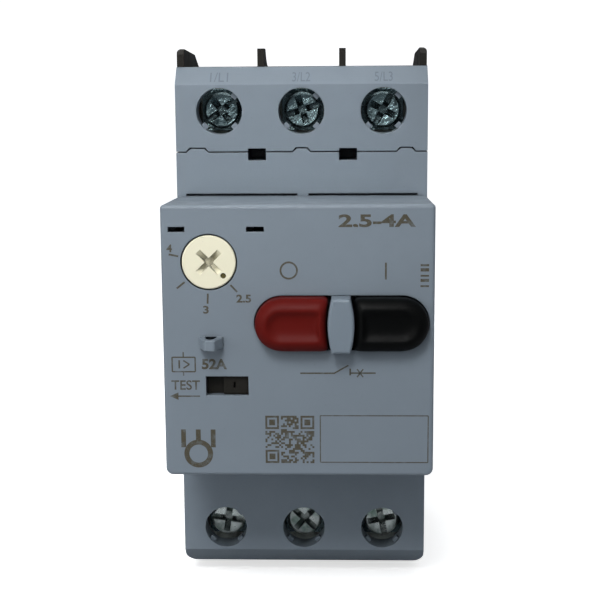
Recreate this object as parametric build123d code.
from build123d import *
import math
import os

# Three-pole motor protection breaker for a 35 mm rail, millimetres.
# X runs to the right seen from the front, Y runs back into the wall, Z is up.
# The origin is the middle of the rail position on the back plane.

# Casing
WIDTH = 45.0
HALF = WIDTH / 2
NOSE_HALF = 22.5
NOSE_TOP = 22.9
NOSE_BACK_TOP = 22.05
COVER_TOP = 45.0
COVER_BOTTOM = -48.0
FIN_TOP = 48.2
FIN_BOTTOM = -47.9
OUTER_FIN_BOTTOM = -45.9
FIN_OUTSIDE = HALF - 0.1
FIN_CORNER = 0.7
NOSE_Y = -68.0
FACE_Y = -44.8
FACE_BACK_Y = -41.8
BASE_Y = -24.0
WALL = 1.6
INNER = HALF - WALL
OPENING_HALF = 20.9
SEAM_Z = 29.85
SEAM_GAP = 0.22
LOWER_SEAM_Z = -31.95
FLOOR = 1.3
PARTITION = 1.2
CLEAR = 0.05

# Poles and terminals
POLE_PITCH = 14.65
POLES = (-POLE_PITCH, 0.0, POLE_PITCH)
PARTITIONS = (-POLE_PITCH / 2, POLE_PITCH / 2)
LINE_Z = 37.2
LOAD_Z = -40.4
LINE_HOLE_R = 4.1
LOAD_HOLE_R = 3.9
COLLAR_R = 5.0
COLLAR_END_Y = -40.4
HEAD_R = 3.2
HEAD_FRONT_Y = -39.8
SHANK_R = 1.95
SCREW_ANGLES = {"line": (-38, -18, -62), "load": (8, 42, 78)}
CLAMP_SIZE = 7.6
PLATE_Y = (-35.2, -34.2)

# Rail and latch
RAIL_TOP = 18.2
RAIL_BOTTOM = -18.5
RAIL_FRONT_Y = -5.2
FLANGE_Y = -3.9
LIP_Z = 15.9
LATCH_Y = (-3.9, -1.4)
LATCH_HALF = 4.4

# Contacts and releases
TIP_TOP_Z = 15.0
TIP_BOTTOM_Z = 3.0
COIL_Z = -14.0
BIMETAL_SHIFT = -2.0
BIMETAL_Y = -38.0

# Controls
DIAL_X = -14.6
DIAL_Z = 13.45
DIAL_R = 4.45
DIAL_GAP = 0.24
LUG_X = -14.45
LUG_Z = (-0.75, 0.95)
FIELD_X = 7.2
FIELD_Z = 3.3
FIELD_LENGTH = 29.0
FIELD_HEIGHT = 9.2
BUTTON_FRONT_Y = -71.6
FRAME_Y = (-57.9, -56.9)
LEVER_PIVOT_Y = -49.0
LEVER_PIVOT_Z = -3.0
STEM_Z = 6.0
TRIP_X = -9.5
TRIP_Z = -18.0
HOUSING_SCREWS = tuple((x, z) for x in PARTITIONS for z in (25.5, -26.0))


def block(x, y, z):
    """Box between two limits on each axis."""
    middle = [(low + high) / 2 for low, high in (x, y, z)]
    return Pos(*middle) * Box(x[1] - x[0], y[1] - y[0], z[1] - z[0])


def around(centre, half):
    """Limits either side of a centre."""
    return (centre - half, centre + half)


def rod_x(y, z, radius, start, end):
    return Pos((start + end) / 2, y, z) * Rot(0, 90, 0) * Cylinder(radius, end - start)


def rod_y(x, z, radius, start, end):
    return Pos(x, (start + end) / 2, z) * Rot(90, 0, 0) * Cylinder(radius, end - start)


def prism_x(points, start, end):
    """Outline in Y and Z carried along X."""
    return extrude(Plane.YZ.offset(start) * Polygon(*points, align=None), end - start, dir=(1, 0, 0))


def prism_y(sketch, start, end, taper=0.0):
    """Sketch in X and Z carried from the back limit to the front limit."""
    return extrude(Plane.XZ.offset(-end) * sketch, end - start, dir=(0, -1, 0), taper=taper)


def coil_y(x, z, radius, wire, pitch, start, end):
    """Round wire wound along Y."""
    path = Helix(pitch, end - start, radius, center=(x, start, z), direction=(0, 1, 0))
    section = Plane(origin=path @ 0, z_dir=path % 0) * Circle(wire)
    return sweep(section, path=path)


def group(shapes):
    """Separate solids kept side by side in one piece."""
    return Compound([solid for shape in shapes for solid in shape.solids()])


def driver_holes(z, start, end, radius):
    return Part() + [rod_y(x, z, radius, start, end) for x in POLES]


def conductor_slots(z):
    return Part() + [block(around(x, 3.1), (-35.6, -33.8), z) for x in POLES]


def seam_outline(height, spread):
    """The three raised keys along the seam between the housing and the upper cover."""
    spans = ((-20.66, -16.7), (-1.6, 1.65), (17.0, 20.4))
    keys = Sketch()
    for left, right in spans:
        foot_left = left - spread
        foot_right = right + spread
        top = SEAM_Z + height
        keys += Polygon(
            (foot_left, SEAM_Z - 0.4), (foot_left, SEAM_Z), (foot_left + 0.75, top),
            (foot_right - 0.75, top), (foot_right, SEAM_Z), (foot_right, SEAM_Z - 0.4), align=None,
        )
    return keys


def seam_windows():
    openings = ((-9.58, -6.36), (6.70, 9.91))
    return Part() + [block(x, (FACE_Y - 1, -37.5), (28.45, 30.57)) for x in openings]


def outer_fins():
    """Side walls of the two terminal chambers, running out past the covers."""
    top = [
        (-41.7, SEAM_Z + CLEAR), (-41.7, FIN_TOP - 1.0), (-41.4, FIN_TOP - 0.3), (-40.7, FIN_TOP),
        (-24, 47.3), (-17, 45), (-17, SEAM_Z + CLEAR),
    ]
    bottom = [
        (-41.7, -32), (-41.7, OUTER_FIN_BOTTOM), (-22, OUTER_FIN_BOTTOM),
        (-18, OUTER_FIN_BOTTOM + 2), (-18, -32),
    ]
    walls = Part()
    for points in (top, bottom):
        walls += prism_x(points, 21.1, FIN_OUTSIDE)
        walls += prism_x(points, -FIN_OUTSIDE, -21.1)
    for side in (-1, 1):
        corner = Pos(side * (FIN_OUTSIDE - FIN_CORNER / 2), FIN_TOP - FIN_CORNER / 2)
        corner *= Rectangle(FIN_CORNER, FIN_CORNER)
        corner -= Pos(side * (FIN_OUTSIDE - FIN_CORNER), FIN_TOP - FIN_CORNER) * Circle(FIN_CORNER)
        walls -= prism_y(corner, -42, BASE_Y)
    return walls


def inner_fins():
    """Phase barriers between neighbouring terminals, with a quarter-round front horn."""
    fins = Part()
    for x in PARTITIONS:
        section = block(around(x, PARTITION / 2), (-41.7, BASE_Y), (SEAM_Z + CLEAR, FIN_TOP))
        section -= rod_x(-28.5, 57.0, 12.0, x - 2, x + 2)
        section -= block(around(x, 2), (-28.5, BASE_Y), (COVER_TOP, FIN_TOP))
        fins += section
        fins += block(around(x, PARTITION / 2), (-41.7, BASE_Y), (FIN_BOTTOM, -32))
    return fins


def rail_recess():
    """Room for the rail, open to the back, with the fixed lip above it."""
    wide = (-HALF - 1, HALF + 1)
    recess = block(wide, (RAIL_FRONT_Y, FLANGE_Y), (RAIL_BOTTOM, RAIL_TOP))
    return recess + block(wide, (FLANGE_Y - 0.1, 1), (RAIL_BOTTOM, LIP_Z))


def latch_channel():
    """Groove for the latch, narrower at the back so that the latch stays in."""
    height = (-60, RAIL_BOTTOM + 0.1)
    groove = block(around(0, LATCH_HALF + 0.06), (LATCH_Y[0] - 0.06, LATCH_Y[1] + 0.06), height)
    return groove + block(around(0, 3.4), (LATCH_Y[1], 1), height)


def base_housing():
    body = block((-HALF, HALF), (BASE_Y, 0), (COVER_BOTTOM, COVER_TOP))
    body -= block((-INNER, INNER), (BASE_Y - 1, -8), (-43.4, 43.4))
    body -= block((-INNER, INNER), (-9, -2.5), (20, 43.4))
    body -= block((-INNER, INNER), (-9, -5.8), (-43.4, -21))
    body += outer_fins()
    body += inner_fins()
    body += block((-HALF + 0.1, HALF - 0.1), (-41.7, BASE_Y), (SEAM_Z + CLEAR, SEAM_Z + CLEAR + FLOOR))
    body += block((-HALF + 0.1, HALF - 0.1), (-41.7, BASE_Y), (-32 - FLOOR, -32))
    body += block((-HALF + 0.1, HALF - 0.1), (-26, BASE_Y), (SEAM_Z + CLEAR, COVER_TOP))
    body += block((-HALF + 0.1, HALF - 0.1), (-26, BASE_Y), (COVER_BOTTOM, -32))
    for x in PARTITIONS:
        body += block(around(x, PARTITION / 2), (BASE_Y, -7.9), (-43.5, 43.5))
        body += block(around(x, 1.8), (BASE_Y, -7.9), (7, 11))
    for x, z in HOUSING_SCREWS:
        body += rod_y(x, z, 2.4, BASE_Y, -2)
    body -= conductor_slots((SEAM_Z - 1, SEAM_Z + 3))
    body -= conductor_slots((-35, -31))
    body -= seam_windows()
    body -= rail_recess()
    body -= latch_channel()
    body += block(around(0, 0.9), LATCH_Y, (-40, -38.8))
    body += block(around(0, 1.2), (-5.8, LATCH_Y[0] + 0.01), (-40, -38.8))
    for x, z in HOUSING_SCREWS:
        body -= rod_y(x, z, 1.2, BASE_Y - 1, 1)
        body -= rod_y(x, z, 2.5, -1.9, 1)
    for side in (-1, 1):
        hole = around(side * 22, 1.2)
        body -= block(hole, (-33, -31), (35, 39))
    return body


def lower_face():
    """Lower terminal face with its bevelled foot and rounded lower corners."""
    points = [(FACE_Y, -31), (FACE_Y, -44.8), (FACE_BACK_Y, -48), (FACE_BACK_Y, -31)]
    face = prism_x(points, -HALF, HALF)
    for side in (-1, 1):
        corner = Pos(side * 22, -47.5) * Rectangle(3, 3)
        corner -= Pos(side * 20.5, -46) * Circle(2.0)
        face -= prism_y(corner, FACE_Y - 1, FACE_BACK_Y + 1)
    return face


def main_housing():
    front = (FACE_Y, BASE_Y - CLEAR)
    body = block((-HALF, HALF), front, (LOWER_SEAM_Z, SEAM_Z))
    body += lower_face()
    body -= block((-INNER, INNER), (FACE_BACK_Y, BASE_Y + 1), (LOWER_SEAM_Z + WALL, SEAM_Z - WALL))
    body -= block(around(0, OPENING_HALF), (FACE_Y - 1, FACE_BACK_Y + 1), around(0, OPENING_HALF))
    body += prism_y(seam_outline(0.7, 0), FACE_Y, FACE_BACK_Y)
    body += driver_holes(LOAD_Z, FACE_BACK_Y - 0.1, COLLAR_END_Y, COLLAR_R)
    body -= driver_holes(LOAD_Z, FACE_Y - 1, COLLAR_END_Y + 1, LOAD_HOLE_R)
    body += retention_nubs(LOAD_Z)
    body -= seam_windows()
    for x in ((-20.84, -0.81), (1.19, 20.81)):
        body -= block(x, (FACE_Y - 1, FACE_Y + 1.6), (NOSE_BACK_TOP + 0.03, NOSE_BACK_TOP + 0.45))
    for x, z in HOUSING_SCREWS:
        body += rod_y(x, z, 2.4, FACE_BACK_Y - 0.1, BASE_Y - CLEAR)
        body -= rod_y(x, z, 1.15, -39, BASE_Y)
    body -= conductor_slots((SEAM_Z - 3, SEAM_Z + 1))
    body -= conductor_slots((-33, -29))
    for side in (-1, 1):
        body -= side_pockets(side)
    return body


def side_pockets(side):
    """Shallow hooks for side-mounted auxiliaries and a row of vent slits."""
    wall = (side * HALF - 0.7, side * HALF + 0.7)
    pockets = Part()
    for z in (23.5, -25.0):
        pockets += block(wall, (-36, -31), around(z, 1.6))
    through = (side * (HALF - 1) - 2, side * (HALF - 1) + 2)
    for step in range(6):
        pockets += block(through, (-31.5, -30.3), around(-9 + 4.2 * step, 1.4))
    return pockets


def retention_nubs(z):
    """Three small nubs in each driver hole that keep a backed-out screw in place."""
    nubs = Part()
    for x in POLES:
        for angle in (45, -45, -135):
            nub = Pos(x, -43.3, z) * Rot(0, -angle, 0) * Pos(3.8, 0, 0) * Box(0.9, 1.0, 1.1)
            nubs += nub
    return nubs


def upper_terminal_cover():
    low = SEAM_Z + SEAM_GAP
    points = [(FACE_Y, low), (FACE_Y, 41.9), (FACE_BACK_Y, COVER_TOP), (FACE_BACK_Y, low)]
    cover = prism_x(points, -HALF, HALF)
    cover += driver_holes(LINE_Z, FACE_BACK_Y - 0.1, COLLAR_END_Y, COLLAR_R)
    cover -= driver_holes(LINE_Z, FACE_Y - 1, COLLAR_END_Y + 1, LINE_HOLE_R)
    cover += retention_nubs(LINE_Z)
    cover -= prism_y(seam_outline(0.7 + SEAM_GAP, SEAM_GAP), FACE_Y - 1, FACE_BACK_Y + 1)
    cover -= seam_windows()
    for side in (-1, 1):
        cover += block(around(side * 20.62, 0.42), (FACE_BACK_Y - 0.1, -30.5), (34.5, 39.5))
        cover += block(around(side * 21.4, 0.5), (-32.8, -31.2), (35.3, 38.7))
    return cover


def field_outline(clearance):
    """Rounded field shared by both buttons."""
    return Pos(FIELD_X, FIELD_Z) * SlotOverall(FIELD_LENGTH - 2 * clearance, FIELD_HEIGHT - 2 * clearance)


def bridge_outline(clearance, half_height):
    """Barrel shape between the buttons, widest at mid-height."""
    middle = 7.1
    end = 1.5 + clearance
    bulge = 2.2 + clearance
    low = FIELD_Z - half_height
    high = FIELD_Z + half_height
    right = ThreePointArc((middle + end, low), (middle + bulge, FIELD_Z), (middle + end, high))
    left = ThreePointArc((middle - end, high), (middle - bulge, FIELD_Z), (middle - end, low))
    ends = [
        Line((middle + end, high), (middle - end, high)),
        Line((middle - end, low), (middle + end, low)),
    ]
    return make_face([right, ends[0], left, ends[1]])


def sealing_lug():
    """Small eye for a sealing wire, standing out of the front above the test slot."""
    root = NOSE_Y + 0.5
    profile = Polygon(
        (-16.3, root), (-16.3, -68.9), (-15.2, -71.4),
        (-13.6, -71.4), (-12.5, -68.9), (-12.5, root), align=None,
    )
    eye = extrude(Plane.XY.offset(LUG_Z[0]) * profile, LUG_Z[1] - LUG_Z[0], dir=(0, 0, 1))
    front_edges = eye.edges().filter_by(Axis.Z).group_by(Axis.Y)[0]
    eye = fillet(front_edges, 0.5)
    hole = Pos(LUG_X, NOSE_Y) * Ellipse(0.95, 2.2)
    hole -= Pos(LUG_X, NOSE_Y + 5) * Rectangle(10, 10)
    return eye - extrude(Plane.XY.offset(-2) * hole, 4, dir=(0, 0, 1))


def nose_block():
    """Square front with rounded edges; its top face falls a little towards the back."""
    back = FACE_Y - CLEAR
    points = [(NOSE_Y, -NOSE_TOP), (NOSE_Y, NOSE_TOP), (back, NOSE_BACK_TOP), (back, -NOSE_TOP)]
    nose = prism_x(points, -NOSE_HALF, NOSE_HALF)
    nose = fillet(nose.edges().filter_by(Axis.Y), 1.2)
    side = NOSE_HALF - 1
    upper = nose.edges().filter_by(lambda e: e.center().Z > NOSE_BACK_TOP and abs(e.center().X) > side)
    return fillet(nose.edges().group_by(Axis.Y)[0] + upper, 0.6)


def front_cover():
    nose = nose_block()
    nose += block(around(0, 20.8), (-46, -40.7), around(0, 20.8))
    nose -= block(around(0, 20.3), (NOSE_Y + 1.8, -46), around(0, 20.3))
    nose -= block(around(0, 19.6), (-46.1, -40), around(0, 19.6))
    nose += rod_y(TRIP_X, TRIP_Z, 1.0, NOSE_Y + 1.7, -59.5)
    nose += block((-14.0, -13.3), (NOSE_Y + 1.7, -63.2), (-11.3, -10.2))
    nose += block((-14.0, -13.3), (-64.9, -63.2), (-10.3, -6.2))
    for side in (-1, 1):
        for x in (-10, 10):
            nose += block(around(x, 2), (-41.75, -40.7), around(side * 21.1, 0.5))
    nose -= prism_y(field_outline(0), NOSE_Y - 1, -58)
    nose -= rod_y(DIAL_X, DIAL_Z, DIAL_R + DIAL_GAP, NOSE_Y - 1, NOSE_Y + 3)
    nose -= block((-15.43, -8.33), (NOSE_Y - 1, NOSE_Y + 3), (-9.04, -5.76))
    for x in ((-21.23, -18.49), (-8.38, -5.48)):
        nose -= block(x, (NOSE_Y - 1, NOSE_Y + 2.5), (18.45, 19.3))
    nose += sealing_lug()
    return nose - block(around(LUG_X, 0.95), (NOSE_Y, NOSE_Y + 1.5), LUG_Z)


def button_bridge():
    barrel = prism_y(bridge_outline(0, FIELD_HEIGHT / 2 - CLEAR), -71.4, NOSE_Y + 1.85)
    barrel = fillet(barrel.edges().group_by(Axis.Y)[0], 0.5)
    foot = block(around(7.1, 1.6), (NOSE_Y + 1.85, NOSE_Y + 2.9), around(FIELD_Z, 6.4))
    return barrel + foot


def button(side):
    """Push button with a dished top; side is +1 for start and -1 for stop."""
    half = Pos(FIELD_X + side * 20, FIELD_Z) * Rectangle(40, 20)
    outline = (field_outline(0.15) & half) - bridge_outline(0.15, 9)
    cap = prism_y(outline, -69.1, NOSE_Y + 1.85)
    crown = prism_y(outline, BUTTON_FRONT_Y, -69.1, taper=36)
    inset = (field_outline(2.3) & half) - bridge_outline(2.2, 9)
    dish = prism_y(inset, BUTTON_FRONT_Y - 0.01, BUTTON_FRONT_Y + 0.7)
    body = cap + (crown - dish)
    flange_x = (9.6, 18.0) if side > 0 else (-4.0, 4.6)
    body += block(flange_x, (NOSE_Y + 1.85, NOSE_Y + 2.9), around(FIELD_Z, 5.4))
    stem_x = 13.0 if side > 0 else -1.0
    body += block(around(stem_x, 1.0), (NOSE_Y + 2.8, -50.3), around(STEM_Z, 0.6))
    return body


def button_spring(x):
    return coil_y(x, 2.6, 1.5, 0.22, 1.15, NOSE_Y + 3.2, FRAME_Y[0] - 0.3)


def driver_cross(x, z, front, depth, reach, width, angle):
    """Cross recess with arms that run out towards their ends."""
    foot = 0.3 * reach
    slope = [(-0.1, -1.1 * reach), (-0.1, 1.1 * reach), (depth, foot), (depth, -foot)]
    arms = Part()
    for turn in (0, 90):
        arms += Pos(x, front, z) * Rot(0, angle + turn, 0) * prism_x(slope, -width / 2, width / 2)
    return arms


def setting_dial():
    dial = rod_y(DIAL_X, DIAL_Z, DIAL_R, NOSE_Y, NOSE_Y + 1.9)
    dial = chamfer(dial.edges().group_by(Axis.Y)[0], 0.15)
    dial += rod_y(DIAL_X, DIAL_Z, 5.4, NOSE_Y + 1.85, NOSE_Y + 2.7)
    dial += rod_y(DIAL_X, DIAL_Z, 2.0, NOSE_Y + 2.6, -53.8)
    lead = math.radians(162.5)
    cam_x = DIAL_X + 0.8 * math.cos(lead)
    cam_z = DIAL_Z + 0.8 * math.sin(lead)
    dial += rod_y(cam_x, cam_z, 2.6, -56.2, -53.8)
    dial -= driver_cross(DIAL_X, DIAL_Z, NOSE_Y, 1.5, 2.4, 0.95, 45)
    mark = math.radians(-43.8)
    mark_x = DIAL_X + 3.25 * math.cos(mark)
    mark_z = DIAL_Z + 3.25 * math.sin(mark)
    return dial - rod_y(mark_x, mark_z, 0.47, NOSE_Y - 1, NOSE_Y + 0.25)


def adjusting_lever():
    """Arm that follows the cam of the dial and sets where the overload bar trips."""
    arm = block((-12.5, -10.5), (-56, -54), (-0.5, 15.5))
    arm += rod_y(-11.5, -0.5, 1.8, -56, -54)
    return arm - rod_y(-11.5, -0.5, 0.85, -57, -53)


def test_slider():
    slider = block((-12.5, -8.5), (NOSE_Y + 0.7, NOSE_Y + 1.9), (-8.9, -5.9))
    slider -= block(around(-10.7, 0.2), (NOSE_Y, NOSE_Y + 1.3), (-7.9, -6.9))
    slider += block((-16.2, -6.4), (NOSE_Y + 1.85, NOSE_Y + 2.8), (-10, -4.8))
    return slider + block((-8.2, -7.2), (NOSE_Y + 2.7, -58), (-8, -7))


def test_slider_spring():
    path = Helix(0.75, 4.5, 0.75, center=(-13.1, -64.1, -7.5), direction=(1, 0, 0))
    section = Plane(origin=path @ 0, z_dir=path % 0) * Circle(0.14)
    return sweep(section, path=path)


def trip_lever():
    lever = block(around(TRIP_X, 1.0), (-62, -60), (TRIP_Z, -6.5))
    lever += rod_y(TRIP_X, TRIP_Z, 2.2, -62, -60)
    return lever - rod_y(TRIP_X, TRIP_Z, 1.05, -63, -59)


def pivoting_lever(x, width):
    """Lever on the common pin, pushed by a button stem."""
    lever = block(around(x, width / 2), around(LEVER_PIVOT_Y, 1.0), (LEVER_PIVOT_Z, 8.0))
    lever += rod_x(LEVER_PIVOT_Y, LEVER_PIVOT_Z, 1.7, x - width / 2, x + width / 2)
    return lever - rod_x(LEVER_PIVOT_Y, LEVER_PIVOT_Z, 0.8, x - width, x + width)


def mechanism_frame():
    """Folded steel frame behind the buttons."""
    plate = block((-8.0, 19.9), FRAME_Y, (-5.0, 9.5))
    plate += block((-20.0, -7.9), FRAME_Y, (8.0, 18.5))
    for x in ((-8.0, -7.0), (18.9, 19.9)):
        plate += block(x, (FRAME_Y[0], -46.3), (-5.0, 9.5))
    for x in (-1.0, 13.0):
        plate -= block(around(x, 1.3), (-59, -56), around(STEM_Z, 0.9))
    plate -= rod_y(DIAL_X, DIAL_Z, 2.05, -59, -56)
    plate -= rod_x(LEVER_PIVOT_Y, LEVER_PIVOT_Z, 0.78, -9, 21)
    return plate


def mechanism_pins():
    """Common lever pin with its head, and the pivot stud of the adjusting lever."""
    pin = rod_x(LEVER_PIVOT_Y, LEVER_PIVOT_Z, 0.75, -8.8, 20.1)
    pin += rod_x(LEVER_PIVOT_Y, LEVER_PIVOT_Z, 1.3, -8.9, -8.05)
    stud = rod_y(-11.5, -0.5, 0.8, -57.8, -53.2)
    stud += rod_y(-11.5, -0.5, 1.5, -58.4, -57.7)
    return group([pin, stud])


def contact_carrier():
    """Moulded crossbar that carries the three moving bridges."""
    bar = block((-19.5, 19.5), (-34, -30.5), (6.5, 11.5))
    for x in POLES:
        for side in (-1, 1):
            bar += block(around(x + side * 3.5, 0.6), (-31, -23.6), (7.5, 10.5))
        bar += block(around(x, 4.0), (-24.6, -23.6), (8.0, 10.0))
        bar += rod_y(x, 9.0, 1.0, -30.6, -29.6)
    bar += block((12, 14), (-36, -33.9), (2.4, 9))
    return bar + block((12, 14), (-47.7, -35.9), (2.4, 3.4))


def contact_bridges():
    bridges = []
    for x in POLES:
        bridge = block(around(x, 2.5), (-25.8, -24.8), (0.9, 17.1))
        bridges.append(fillet(bridge.edges().filter_by(Axis.Y), 0.8))
    return group(bridges)


def contact_tips(radius, start, end):
    return group(rod_y(x, z, radius, start, end) for x in POLES for z in (TIP_TOP_Z, TIP_BOTTOM_Z))


def contact_springs():
    return group(coil_y(x, 9.0, 1.3, 0.2, 0.95, -30.2, -26.05) for x in POLES)


def carrier_return_springs():
    return group(coil_y(x, 9.0, 1.4, 0.22, 1.1, -30.2, -24.3) for x in PARTITIONS)


def terminal_plate(x, z_limits, screw_z):
    """Tapped clamping plate with its extruded thread collar."""
    plate = block(around(x, 4.2), PLATE_Y, z_limits)
    plate += rod_y(x, screw_z, 3.1, PLATE_Y[0], -32.2)
    return plate - rod_y(x, screw_z, 2.0, -36, -31)


def line_conductors():
    strips = []
    for x in POLES:
        strip = terminal_plate(x, (31.4, 42.5), LINE_Z)
        strip += block(around(x, 3.0), PLATE_Y, (24, 32))
        strip += block(around(x, 3.0), (PLATE_Y[0], -19), (24, 25))
        strip += block(around(x, 3.0), (-20, -19), (13, 25))
        strips.append(strip)
    return group(strips)


def load_contact_strips():
    return group(block(around(x, 3.0), (-20, -19), (-6, 4.8)) for x in POLES)


def load_terminal_plates():
    plates = []
    for x in POLES:
        plate = terminal_plate(x, (-47.2, -34.6), LOAD_Z)
        plates.append(plate + block(around(x, 3.0), PLATE_Y, (-35, -27.5)))
    return group(plates)


def arc_chute_plates():
    """Stacked splitter plates beside each pair of contacts."""
    plates = []
    for x in POLES:
        for low in (18.3, -5.2):
            for step in range(4):
                y = -26.9 + 1.5 * step
                plates.append(block(around(x, 4.9), (y, y + 0.8), (low, low + 5)))
    return group(plates)


def arc_chute_cards():
    """Insulating side cards that hold the splitter plates."""
    cards = []
    for x in POLES:
        for low in (18.0, -5.5):
            for side in (-1, 1):
                cards.append(block(around(x + side * 5.3, 0.35), (-27.2, -21.2), (low, low + 5.6)))
    return group(cards)


def coil_windings():
    return group(coil_y(x, COIL_Z, 4.55, 0.62, 1.5, -24.3, -15.7) for x in POLES)


def coil_bobbins():
    bobbins = []
    for x in POLES:
        bobbin = rod_y(x, COIL_Z, 3.7, -26, -14)
        for y in (-26.0, -14.8):
            bobbin += rod_y(x, COIL_Z, 5.4, y, y + 0.8)
        bobbins.append(bobbin - rod_y(x, COIL_Z, 2.05, -27, -13))
    return group(bobbins)


def magnet_yokes():
    yokes = []
    for x in POLES:
        yoke = block(around(x, 4.0), (-27.2, -12.8), (-20.8, -8.2))
        yoke -= block(around(x, 5.0), (-26.05, -13.95), (-19.6, -7))
        yokes.append(yoke - rod_y(x, COIL_Z, 2.4, -28, -26))
    return group(yokes)


def plunger(x):
    core = rod_y(x, COIL_Z, 2.0, -27.6, -19.5)
    return core + rod_y(x, COIL_Z, 0.8, -31, -27.5)


def bimetal(x):
    return block(around(x + BIMETAL_SHIFT, 0.4), around(BIMETAL_Y, 2.0), (-30, -6))


def heater(x):
    path = Helix(1.35, 11.0, 2.42, center=(x + BIMETAL_SHIFT, BIMETAL_Y, -24), direction=(0, 0, 1))
    section = Plane(origin=path @ 0, z_dir=path % 0) * Circle(0.24)
    return sweep(section, path=path)


def bimetal_brackets():
    brackets = []
    for x in POLES:
        bracket = block((x - 1.3, x + 1.2), (-40, PLATE_Y[0] - CLEAR), (-30.3, -27))
        brackets.append(bracket)
    return group(brackets)


def trip_slide_bar():
    """Bar pushed sideways by any of the three bimetals."""
    bar = block((-18.8, 17.6), (-43.8, -40.4), (-7.6, -5.0))
    for x in POLES:
        tip = x + BIMETAL_SHIFT
        bar += block((tip + 0.75, tip + 1.75), (-40.6, -36.5), (-8.2, -5.0))
    return bar


def rail_latch():
    latch = block(around(0, LATCH_HALF), LATCH_Y, (-50.5, -15.9))
    latch -= block(around(0, 1.5), (-6, 0), (-43.3, -27.3))
    latch -= block(around(0, 2.4), (-6, 0), (-49.3, -47.9))
    catch = latch.edges().filter_by(Axis.X).group_by(Axis.Z)[-1].sort_by(Axis.Y)[-1]
    return chamfer(catch, 1.1)


def latch_spring():
    path = Helix(1.0, 11.0, 0.85, center=(0, -2.65, -38.5), direction=(0, 0, 1))
    section = Plane(origin=path @ 0, z_dir=path % 0) * Circle(0.18)
    return sweep(section, path=path)


def housing_screws():
    screws = []
    for x, z in HOUSING_SCREWS:
        screw = rod_y(x, z, 2.3, -1.85, -0.4)
        screw += rod_y(x, z, 1.1, -37, -1.8)
        recess = Rot(0, 0, 180) * driver_cross(-x, z, 0.4, 1.1, 1.4, 0.6, 0)
        screws.append(screw - recess)
    return group(screws)


def terminal_screw(x, z, angle):
    """Clamp screw with a combined slot and cross recess, left at its own angle."""
    head = rod_y(x, z, HEAD_R, HEAD_FRONT_Y, HEAD_FRONT_Y + 3.0)
    head = chamfer(head.edges().group_by(Axis.Y)[0], 0.35)
    head -= driver_cross(x, z, HEAD_FRONT_Y, 2.0, 2.5, 1.15, angle)
    head -= Pos(x, HEAD_FRONT_Y + 0.5, z) * Rot(0, angle, 0) * Box(8, 1.4, 1.0)
    return head + rod_y(x, z, SHANK_R, HEAD_FRONT_Y + 2.9, -28.8)


def clamp_washer(x, z):
    half = CLAMP_SIZE / 2
    washer = block(around(x, half), (-36.7, -35.5), around(z, half))
    washer = chamfer(washer.edges().filter_by(Axis.Y), 0.8)
    return washer - rod_y(x, z, SHANK_R + 0.1, -38, -35)


def pieces():
    """Every piece of the breaker by name."""
    made = {
        "base_housing": base_housing(),
        "main_housing": main_housing(),
        "upper_terminal_cover": upper_terminal_cover(),
        "front_cover": front_cover(),
        "button_bridge": button_bridge(),
        "start_button": button(1),
        "stop_button": button(-1),
        "start_button_spring": button_spring(16.4),
        "stop_button_spring": button_spring(2.6),
        "setting_dial": setting_dial(),
        "adjusting_lever": adjusting_lever(),
        "test_slider": test_slider(),
        "test_slider_spring": test_slider_spring(),
        "trip_lever": trip_lever(),
        "toggle_lever": pivoting_lever(13.0, 4.0),
        "latch_lever": pivoting_lever(-1.0, 4.0),
        "mechanism_frame": mechanism_frame(),
        "mechanism_pins": mechanism_pins(),
        "contact_carrier": contact_carrier(),
        "contact_bridges": contact_bridges(),
        "moving_contact_tips": contact_tips(1.5, -24.8, -24.0),
        "fixed_contact_tips": contact_tips(1.6, -21.45, -20.0),
        "contact_springs": contact_springs(),
        "carrier_return_springs": carrier_return_springs(),
        "line_conductors": line_conductors(),
        "load_contact_strips": load_contact_strips(),
        "load_terminal_plates": load_terminal_plates(),
        "arc_chute_plates": arc_chute_plates(),
        "arc_chute_cards": arc_chute_cards(),
        "coil_windings": coil_windings(),
        "coil_bobbins": coil_bobbins(),
        "magnet_yokes": magnet_yokes(),
        "bimetal_brackets": bimetal_brackets(),
        "trip_slide_bar": trip_slide_bar(),
        "rail_latch": rail_latch(),
        "latch_spring": latch_spring(),
        "housing_screws": housing_screws(),
    }
    for number, x in enumerate(POLES, start=1):
        made[f"plunger_{number}"] = plunger(x)
        made[f"bimetal_{number}"] = bimetal(x)
        made[f"heater_{number}"] = heater(x)
        for side, z in (("line", LINE_Z), ("load", LOAD_Z)):
            made[f"{side}_screw_{number}"] = terminal_screw(x, z, SCREW_ANGLES[side][number - 1])
            made[f"{side}_clamp_{number}"] = clamp_washer(x, z)
    return made


os.makedirs("parts", exist_ok=True)
for name, shape in pieces().items():
    export_step(shape, f"parts/{name}.step")
